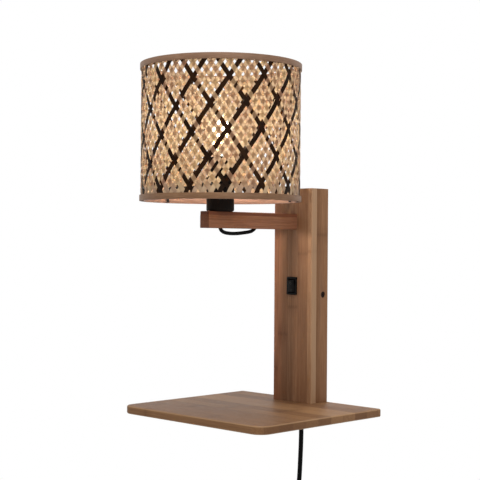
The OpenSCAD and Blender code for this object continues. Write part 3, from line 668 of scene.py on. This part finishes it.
def makeGlass():
    bpy.ops.mesh.primitive_uv_sphere_add(segments=64, ring_count=44, radius=1)
    glass = added("bulbGlass")
    choose(glass, lambda co: co.z < -0.9999)
    bpy.ops.mesh.delete(type="VERT")
    bpy.ops.object.mode_set(mode="OBJECT")
    for v in glass.data.vertices:
        t = 1 - math.acos(max(-1, min(1, v.co.z))) / math.pi
        ring = Vector((v.co.x, v.co.y, 0))
        tip = ring.length <= 1e-6 or t >= 0.9999
        ring = Vector() if tip else ring.normalized() * candleRadius(t)
        v.co = axis + ring + Vector((0, 0, bulb["base"] + t * bulb["height"]))
    outward(glass)
    apply(glass, "SOLIDIFY", thickness=bulb["wall"], offset=-1)
    smooth(glass, 60)
    paint(glass, glassMaterial("bulbGlassClear", **bulb["glassGlow"]))
    place(glass, "bulb_glass", slot="glass_clear")


def emberMaterial():
    made, tree, skin = material("filamentEmber", Roughness=0.6,
                                Emission_Strength=filament["strength"])
    spot = node(tree, "TexCoord").outputs["Object"]
    beads = noise(tree, spot, [300.0, 300.0, 900.0], 2.0)
    color = ramp(tree, beads, list(zip((0.3, 0.7), filament["ember"])))
    feed(tree, skin, Base_Color=color, Emission_Color=color)
    return made


def filamentPlace(k):
    # on the bulb's axis, turned towards rod k
    turn = math.radians(360 * (k + 0.5) / filament["count"])
    up = Matrix.Translation(axis + Vector((0, 0, filament["base"])))
    return up @ Matrix.Rotation(turn, 4, "Z")


def makeFilaments():
    rods = []
    for k in range(filament["count"]):
        bpy.ops.mesh.primitive_cylinder_add(vertices=14, radius=filament["thick"],
                                            depth=filament["length"])
        rod = added("filament")
        apply(rod, "BEVEL", width=filament["end"], segments=3, limit_method="ANGLE")
        stand = Matrix.Translation((filament["radius"], 0, 0))
        tilt = Matrix.Rotation(math.radians(-filament["lean"]), 4, "Y")
        half = Matrix.Translation((0, 0, filament["length"] / 2))
        rod.matrix_world = filamentPlace(k) @ stand @ tilt @ half
        settle(rod)
        rods.append(rod)
    threads = join(rods, "bulbFilaments")
    smooth(threads, 50)
    paint(threads, emberMaterial())
    place(threads, "bulb_filaments", slot="filament")

    wires = []
    inward = filament["length"] * math.sin(math.radians(filament["lean"]))
    for k in range(filament["count"]):
        for (z, start), end in [(filament["lowWire"], filament["radius"]),
                                (filament["highWire"], filament["radius"] - inward)]:
            bpy.ops.mesh.primitive_cylinder_add(vertices=10, radius=filament["wire"],
                                                depth=end - start)
            wire = added("support")
            lie = Matrix.Rotation(math.radians(90), 4, "Y")
            middle = Matrix.Translation(((start + end) / 2, 0, z))
            wire.matrix_world = filamentPlace(k) @ middle @ lie
            settle(wire)
            wires.append(wire)
    supports = join(wires, "filamentSupports")
    smooth(supports, 50)
    paint(supports, zinc)
    place(supports, slot="steel")


makeGlass()
makeFilaments()
stemGlass = glassMaterial("bulbStemGlass", **bulb["stemGlow"])
softCopy("bulb_stem", "bulbStem", stemGlass, 0.0, slot="glass_clear")
print("bulb is in place")


# ---- shade

weave = {
    "count": 56,            # strips that lean each way
    "darkEvery": 4,
    "radius": 0.08705,
    "bulge": 0.00105,       # how far the cloth stands out between the rims that hold it
    "held": 0.010,
    "thick": 0.0003,
    "swing": 0.00045,
    "firm": 1.2,            # how long a strip stays over or under before it changes sides
    "row": 0.00725,         # height from one row of crossings to the next
    "darkRow": 0.100,
    "darkTurn": -52,
    # degrees that each dark strip stands off its regular place
    "strayRight": [0.9, -1.1, -3.4, -3.5, -2.4, -1.0, 0, 0, 0, 0, 0, 0.5, 1.2, 2.2],
    "strayLeft": [0.5, 0.1, 1.0, 1.6, 1.0, 0.4, 0, 0, 0, -0.4, -0.8, -1.0, -0.5, 0.0],
    "steps": 100,
    "end": 0.0021,
    "bottom": 0.1062,       # height of the lower rim
    "height": 0.152,
    "steeper": 0.014,       # below this height the strips stand steeper
    "steepening": 0.42,
    "seed": 5,
    "widths": (0.93, 1.06), # shares of its width that a strip may have
    "jitter": 0.12,         # degrees
    "lift": 0.00004,
    "drift": 0.12,          # degrees that a strip wanders on its way up
    "wander": 31,           # radians of that way per metre of height
}
strips = {
    "fibres": [13.0, 9.0, 1.0],
    "fine": [34.0, 40.0, 1.0],
    "blotches": [0.6, 12.0, 1.0],
    "apart": 57.0,          # moves the grain on from one strip's tone to the next
    "edgeShade": (0.38, 0.5),    # painted shade at a strip's edges, from its middle, in shares of its width
    "edgeShadeLoss": 0.4,        # share of the light that a strip's edges keep back, which darkens them as painted shade
    "hues": [(196, 132, 110), (190, 148, 116), (206, 178, 112)],
    "dry": (178, 160, 138), # the strips' greyer lowest part
    "dryReach": (0.045, 0.125),
    "dryLoss": 0.75,
    "relief": 0.00008,
}
naturalStrip = {
    "width": 0.00485,
    "tones": [(124, 90, 67), (173, 135, 103), (206, 171, 134)],
    "gloss": 0.16,
    "hueShare": 0.188,
    "dryShare": 0.47,
    "through": 0.62,        # share of the light that the strip lets through
    "throughColor": (221, 213, 198),
}
darkStrip = {
    "width": 0.0048,
    "tones": [(14, 6, 2), (44, 25, 9)],
    "gloss": 0.06,
    "hueShare": 0.0,
    "dryShare": 0.0,
    "through": 0.12,
    "throughColor": (160, 104, 66),
}
rowTurn = 180 / weave["count"]


def leanedTurn(z):
    # degrees gained on the way from the row of dark crossings
    low = max(0.0, weave["steeper"] - z)
    late = weave["steepening"] * low * low / weave["steeper"]
    return (z - weave["darkRow"] + late) / weave["row"] * rowTurn


def strayTurn(k, side):
    # the strips between two dark ones follow them
    strays = weave["strayRight" if side > 0 else "strayLeft"]
    first = math.floor(k / weave["darkEvery"])
    part = k / weave["darkEvery"] - first
    return strays[first % len(strays)] * (1 - part) + strays[(first + 1) % len(strays)] * part


def placeStrip(mesh, k, side, width, jitter, lift, drift):
    # side is 1 for the strips that lean right and -1 for those that lean left
    reach = weave["height"] - 2 * weave["end"]
    stray = strayTurn(k, side)
    turn = weave["darkTurn"] + 2 * rowTurn * k + stray + jitter
    for v in mesh.vertices:
        z = weave["end"] + reach * (v.co.y + 0.5)
        wandered = drift * math.sin(z * weave["wander"])
        turned = math.radians(turn + side * leanedTurn(z) + wandered)
        rise = (leanedTurn(z + 0.0005) - leanedTurn(z - 0.0005)) / 0.001
        lean = math.atan2(1, weave["radius"] * math.radians(rise))
        out = Vector((math.cos(turned), math.sin(turned), 0))
        around = Vector((-math.sin(turned), math.cos(turned), 0))
        across = around * math.sin(lean) - Vector((0, 0, side * math.cos(lean)))
        # a crossing moves up or down where the two ways stray apart
        apart = side * (stray - strayTurn(k + side * leanedTurn(z) / rowTurn, -side))
        crossed = (z - weave["darkRow"]) / weave["row"] + apart / 2 / rowTurn
        wave = math.cos(math.pi / 2 * (crossed - 0.5))
        swing = weave["swing"] * math.tanh(weave["firm"] * wave) / math.tanh(weave["firm"])
        free = min(1.0, z / weave["held"], (weave["height"] - z) / weave["held"])
        bulge = weave["bulge"] * math.sin(math.pi / 2 * free)
        spot = out * (weave["radius"] + bulge - side * swing + lift)
        v.co = axis + spot + across * (v.co.x * width) + Vector((0, 0, weave["bottom"] + z))


def stripMaterial(label, strip):
    made, tree, skin = material(label, Specular_IOR_Level=strip["gloss"])
    uv = node(tree, "SeparateXYZ", {0: node(tree, "TexCoord").outputs["UV"]}).outputs
    tone = node(tree, "Attribute", attribute_name="tone").outputs["Fac"]
    apart = maths(tree, "MULTIPLY", tone, strips["apart"])
    spot = node(tree, "CombineXYZ", {"X": uv["X"], "Y": uv["Y"], "Z": apart}).outputs[0]
    fibres = noise(tree, spot, strips["fibres"], 4.0)
    fine = noise(tree, spot, strips["fine"], 2.0)
    blotches = noise(tree, spot, strips["blotches"], 2.0)
    # painted shade: each strip is darker and lets less light through towards its edges
    edge = maths(tree, "ABSOLUTE", maths(tree, "SUBTRACT", uv["X"], 0.5))
    edgeShade = spread(tree, edge, *strips["edgeShade"])
    mixed = weigh(tree, 0.0, (tone, 0.42), (fibres, 0.5), (blotches, 0.3), (fine, 0.12),
                  (edgeShade, -0.3))
    gap = 0.6 / (len(strip["tones"]) - 1)
    color = ramp(tree, mixed, [(0.3 + gap * k, tint(*c)) for k, c in enumerate(strip["tones"])])
    hues = [(0.25 * (k + 1), tint(*c)) for k, c in enumerate(strips["hues"])]
    color = blend(tree, color, strip["hueShare"], ramp(tree, tone, hues))
    dry = spread(tree, uv["Y"], *strips["dryReach"], 1.0, 0.0)
    color = stain(tree, color, dry, strip["dryShare"], strips["dry"])
    feed(tree, skin, Base_Color=color, Roughness=spread(tree, fine, 0.3, 0.7, 0.4, 0.6),
         Normal=bump(tree, weigh(tree, fibres, (fine, 0.4)), strips["relief"], 0.7))

    # the light that comes through, less at the edges as painted shade, and at the dry lower end
    shine = blend(tree, tint(*strip["throughColor"]), 0.2, color)
    share = weigh(tree, strip["through"], (edgeShade, -strips["edgeShadeLoss"] * strip["through"]))
    share = maths(tree, "MULTIPLY", share, weigh(tree, 1.0, (dry, -strips["dryLoss"])))
    mixShaders(tree, share, skin, node(tree, "BsdfTranslucent", {"Color": shine}))
    return made


def makeStrip(blank, k, side, strip):
    piece = bpy.data.objects.new("strip", blank.data.copy())
    bpy.context.scene.collection.objects.link(piece)
    width = strip["width"] * random.uniform(*weave["widths"])
    jitter, lift, drift = [random.uniform(-weave[name], weave[name])
                           for name in ("jitter", "lift", "drift")]
    placeStrip(piece.data, k, side, width, jitter, lift, drift)
    tone = piece.data.attributes.new("tone", "FLOAT", "POINT")
    value = random.random()
    for entry in tone.data:
        entry.value = value
    return piece


def makeWeave():
    bpy.ops.mesh.primitive_grid_add(x_subdivisions=1, y_subdivisions=weave["steps"], size=1)
    blank = added("stripBlank")
    natural = stripMaterial("stripNatural", naturalStrip)
    dark = stripMaterial("stripDark", darkStrip)
    random.seed(weave["seed"])
    for side, way in ((1, "Right"), (-1, "Left")):
        groups = {"Natural": [], "Dark": []}
        for k in range(weave["count"]):
            if k % weave["darkEvery"]:
                groups["Natural"].append(makeStrip(blank, k, side, naturalStrip))
            else:
                groups["Dark"].append(makeStrip(blank, k, side, darkStrip))
        for kind, pieces in groups.items():
            cloth = join(pieces, "weave" + kind + way)
            apply(cloth, "SOLIDIFY", thickness=weave["thick"], offset=0)
            smooth(cloth, 40)
            paint(cloth, natural if kind == "Natural" else dark)
            place(cloth, "weave_%s_%s" % (kind.lower(), way.lower()),
                  slot="strip_natural" if kind == "Natural" else "strip_dark")
    bpy.data.objects.remove(blank)


hoops = {
    "height": 0.0065,
    "thick": 0.0012,
    "edge": 0.00022,
    "outer": 0.0900,
    "inner": 0.08525,
    "seamTurn": 128,        # degrees, where a hoop's two ends meet
    "seamGap": 0.34,
    "steps": 200,
    "fibres": [9.0, 42.0, 1.0],
    "fine": [30.0, 150.0, 1.0],
    "clouds": [0.4, 9.0, 1.0],
    "topTones": [(102, 74, 55), (130, 98, 75), (154, 122, 98)],
    "bottomTones": [(92, 64, 42), (119, 86, 59), (141, 108, 78)],
    # painted lamp light: a lighter, warmer copy of the hoop tones for the lower inner hoop,
    # whose inside the bulb lights
    "litInsideTones": [(112, 80, 64), (140, 104, 86), (162, 127, 107)],
    "relief": 0.00008,
}


def hoopMaterial(label, tones):
    made, tree, skin = material(label, Specular_IOR_Level=0.3)
    uv = node(tree, "TexCoord").outputs["UV"]
    fibres = noise(tree, uv, hoops["fibres"], 4.0)
    fine = noise(tree, uv, hoops["fine"], 2.0)
    clouds = noise(tree, uv, hoops["clouds"], 3.0)
    mixed = weigh(tree, 0.0, (clouds, 0.45), (fibres, 0.5), (fine, 0.15))
    color = ramp(tree, mixed, [(0.35 + 0.2 * k, tint(*c)) for k, c in enumerate(tones)])
    feed(tree, skin, Base_Color=color, Roughness=spread(tree, fine, 0.3, 0.7, 0.42, 0.6),
         Normal=bump(tree, fibres, hoops["relief"], 0.6))
    return made


def makeHoop(label, cadNode, radius, bottom, finish):
    # a bent strip of bamboo whose two ends meet at a seam
    bpy.ops.mesh.primitive_grid_add(x_subdivisions=1, y_subdivisions=hoops["steps"], size=1)
    hoop = added(label)
    start, gap = hoops["seamTurn"], hoops["seamGap"]
    for v in hoop.data.vertices:
        turn = math.radians(start + gap / 2 + (360 - gap) * (v.co.y + 0.5))
        out = Vector((math.cos(turn), math.sin(turn), 0))
        v.co = axis + out * radius + Vector((0, 0, bottom + hoops["height"] * (0.5 - v.co.x)))
    face = hoop.data.polygons[0]
    if face.normal.dot(face.center - axis - Vector((0, 0, face.center.z))) < 0:
        hoop.data.flip_normals()
    apply(hoop, "SOLIDIFY", thickness=hoops["thick"], offset=-1)
    apply(hoop, "BEVEL", width=hoops["edge"], segments=2, limit_method="ANGLE",
          angle_limit=math.radians(40))
    smooth(hoop, 40)
    paint(hoop, finish)
    place(hoop, cadNode, slot="bamboo_light")


makeWeave()
bentTop = hoopMaterial("bentBambooTop", hoops["topTones"])
bentBottom = hoopMaterial("bentBambooBottom", hoops["bottomTones"])
bentInsideLit = hoopMaterial("bentBambooInsideLit", hoops["litInsideTones"])
low = weave["bottom"]
high = weave["bottom"] + weave["height"] - hoops["height"]
makeHoop("hoopTopOuter", "hoop_top_outer", hoops["outer"], high, bentTop)
makeHoop("hoopTopInner", "hoop_top_inner", hoops["inner"], high, bentTop)
makeHoop("hoopBottomOuter", "hoop_bottom_outer", hoops["outer"], low, bentBottom)
makeHoop("hoopBottomInner", "hoop_bottom_inner", hoops["inner"], low, bentInsideLit)
print("shade is woven")


# ---- switch

switch = {
    "pivot": Vector((0, -0.0284, 0.010)),
    "ringSpot": Vector((0, -0.00520, 0.00335)),     # from the pivot, on the upper half's face
    "ringTurn": 110,
    "ringRadius": 0.00150,
    "ringLine": 0.00022,
    "ringScale": (0.85, 1.0, 0.35),                 # a little narrow, and printed flat
    "barSpot": Vector((0, -0.00374, -0.00492)),
    "barTurn": 90,
    "barSize": (0.00044, 0.0030, 0.00015),
    "mark": [(58, 57, 54), (82, 80, 76)],
}


def makeMarks():
    # the ring and the bar that are printed on the rocker
    bpy.ops.mesh.primitive_torus_add(major_radius=switch["ringRadius"], major_segments=36,
                                     minor_radius=switch["ringLine"], minor_segments=8)
    ring = added("rockerRing")
    ring.scale = switch["ringScale"]
    ring.rotation_euler.x = math.radians(switch["ringTurn"])
    ring.location = switch["pivot"] + switch["ringSpot"]
    settle(ring)
    bpy.ops.mesh.primitive_cube_add(size=1)
    bar = added("rockerBar")
    bar.scale = switch["barSize"]
    bar.rotation_euler.x = math.radians(switch["barTurn"])
    bar.location = switch["pivot"] + switch["barSpot"]
    settle(bar)
    marks = join([ring, bar], "rockerMarks")
    smooth(marks, 45)
    paint(marks, plasticMaterial("markPaint", *switch["mark"], 0.6))
    place(marks, rides="rocker", slot="plastic_black")


softCopy("switch_housing", "switchHousing", plasticBlack, 0.00035, slot="plastic_black")
softCopy("switch_rocker", "switchRocker", plasticBlack, 0.0003, rides="rocker",
         slot="plastic_black")
makeMarks()
print("switch is in place")


# ---- leads

leads = {
    "mains": 0.0056,
    "arm": 0.0042,
    "exit": (0, -0.0125, -0.1616),
    # x and z of the mains lead's way down, mm
    "route": [(0, -161.6), (0, -168), (-0.2, -175), (-0.5, -184), (-1, -194), (-1.5, -204),
              (-2.1, -214), (-3, -224), (-5.2, -234), (-8.6, -244), (-12.8, -254), (-17, -264),
              (-20.5, -274), (-22.8, -284), (-23.6, -292), (-23.6, -298)],
    "wallGap": -0.0125,         # y of the mains lead
    "coilCentre": (0.01945, -0.3036),
    "coilOuter": 0.04305,
    "coilPitch": 0.0063,
    "coilTurns": 3,
    "coilSteps": 24,            # points on each turn
    "coilLayer": 0.0063,
    "armHeight": 0.0766,
    # distance from the wall, and height above armHeight, mm
    "armRoute": [(10, -14), (10, -6), (10.4, 0), (11.8, 5), (14.6, 9), (19, 11.2), (25, 11.6),
                 (50, 11.6), (76, 11.6), (81, 11.0), (85.6, 8.9), (90, 5), (95.5, 0), (99, -2.2),
                 (104.5, -3.6), (112, -4.5), (120, -5.3), (128, -5.7), (136, -5.5), (142, -4.8),
                 (146.4, -3.4), (148.7, -1.6), (149.8, 0.4), (150, 2.4), (150, 8), (150, 16),
                 (150, 26)],
    # distance from the wall, and height, mm
    "innerRoute": [(12.5, -161.5), (12.5, -148), (12.5, -134), (12.5, -120), (12.5, -106),
                   (12.45, -92), (12.3, -78), (12.135, -64), (12.035, -50), (12, -37),
                   (12, -25)],
}


def leadMaterial(label, dark, pale, rough):
    made, tree, skin = material(label, Specular_IOR_Level=0.06)
    spot = node(tree, "TexCoord").outputs["Object"]
    cloud = noise(tree, spot, 45.0, 3.0)
    fine = noise(tree, spot, 1100.0, 2.0)
    color = ramp(tree, cloud, [(0.3, tint(*dark)), (0.7, tint(*pale))])
    wear = spread(tree, cloud, 0.3, 0.7, rough - 0.08, rough + 0.08)
    feed(tree, skin, Base_Color=color, Roughness=wear, Normal=bump(tree, fine, 0.00005, 0.4))
    return made


def makeLead(label, points, diameter, finish):
    line = bpy.data.curves.new(label, "CURVE")
    line.dimensions = "3D"
    line.bevel_depth = diameter / 2
    line.bevel_resolution = 5
    line.resolution_u = 4
    line.use_fill_caps = True
    run = line.splines.new("BEZIER")
    run.bezier_points.add(len(points) - 1)
    for spot, knot in zip(points, run.bezier_points):
        knot.co = spot
        knot.handle_left_type = knot.handle_right_type = "AUTO"
    lead = bpy.data.objects.new(label, line)
    bpy.context.scene.collection.objects.link(lead)
    lead.data.materials.append(finish)
    return lead


def coilPoint(t):
    # t counts the turns: inwards on the layer at the wall, outwards on the one in front
    turns = leads["coilTurns"]
    r = leads["coilOuter"] - leads["coilPitch"] * (turns - abs(t - turns))
    climb = min(max(2 * (t - turns) + 0.5, 0), 1)
    return (leads["coilCentre"][0] - r * math.cos(2 * math.pi * t),
            leads["wallGap"] - leads["coilLayer"] * climb,
            leads["coilCentre"][1] - r * math.sin(2 * math.pi * t))


leadBlack = leadMaterial("leadBlack", (2, 2, 2), (7, 6, 6), 0.42)
wireBrown = leadMaterial("wireBrown", (74, 44, 26), (104, 64, 38), 0.4)
mainsRoute = [(x / 1000, leads["wallGap"], z / 1000) for x, z in leads["route"]]
steps = leads["coilSteps"]
mainsRoute += [coilPoint(k / steps) for k in range(2 * leads["coilTurns"] * steps + 1)]
end = mainsRoute[-1]
mainsRoute.append((end[0], end[1], end[2] - leads["mains"]))
mainsCord = makeLead("mainsCord", mainsRoute, leads["mains"], leadBlack)
place(mainsCord, "mains_cord", "cord_coil", slot="lead_black")

armRoute = [(0, -y / 1000, leads["armHeight"] + z / 1000) for y, z in leads["armRoute"]]
armLead = makeLead("armLead", armRoute, leads["arm"], leadBlack)
place(armLead, "arm_lead", slot="lead_black")
innerRoute = [(0, -y / 1000, z / 1000) for y, z in leads["innerRoute"]]
innerLead = makeLead("innerLead", innerRoute, leads["mains"], leadBlack)
place(innerLead, "cord_inner", slot="lead_black")
softCopy("core_wires", "coreWires", wireBrown, 0.0, 60, slot="wire_brown")
print("leads are in place")


# ---- floor

floor = {
    "height": -0.3815,
    "radius": 0.74,
    "tone": 0.86,
    "fade": (0.55, 0.98),       # shares of the radius between which it fades out
}


def makeFloor():
    bpy.ops.mesh.primitive_circle_add(vertices=96, radius=floor["radius"], fill_type="NGON",
                                      location=(0, -floor["radius"], floor["height"]))
    ground = added("floor")
    made, tree, skin = material("floorPale", Roughness=0.9, Specular_IOR_Level=0.1)
    spot = node(tree, "TexCoord").outputs["Object"]
    grain = noise(tree, spot, 30.0, 3.0)
    tone = floor["tone"]
    pale = tone * 1.03
    color = ramp(tree, grain, [(0.3, (tone, tone, tone * 0.99, 1)),
                               (0.7, (pale, pale, tone * 1.02, 1))])
    feed(tree, skin, Base_Color=color)
    away = node(tree, "VectorMath", {0: spot}, operation="LENGTH").outputs["Value"]
    fade = spread(tree, away, *[floor["radius"] * share for share in floor["fade"]])
    mixShaders(tree, fade, skin, node(tree, "BsdfTransparent"))
    paint(ground, made)


makeFloor()
print("floor is laid")
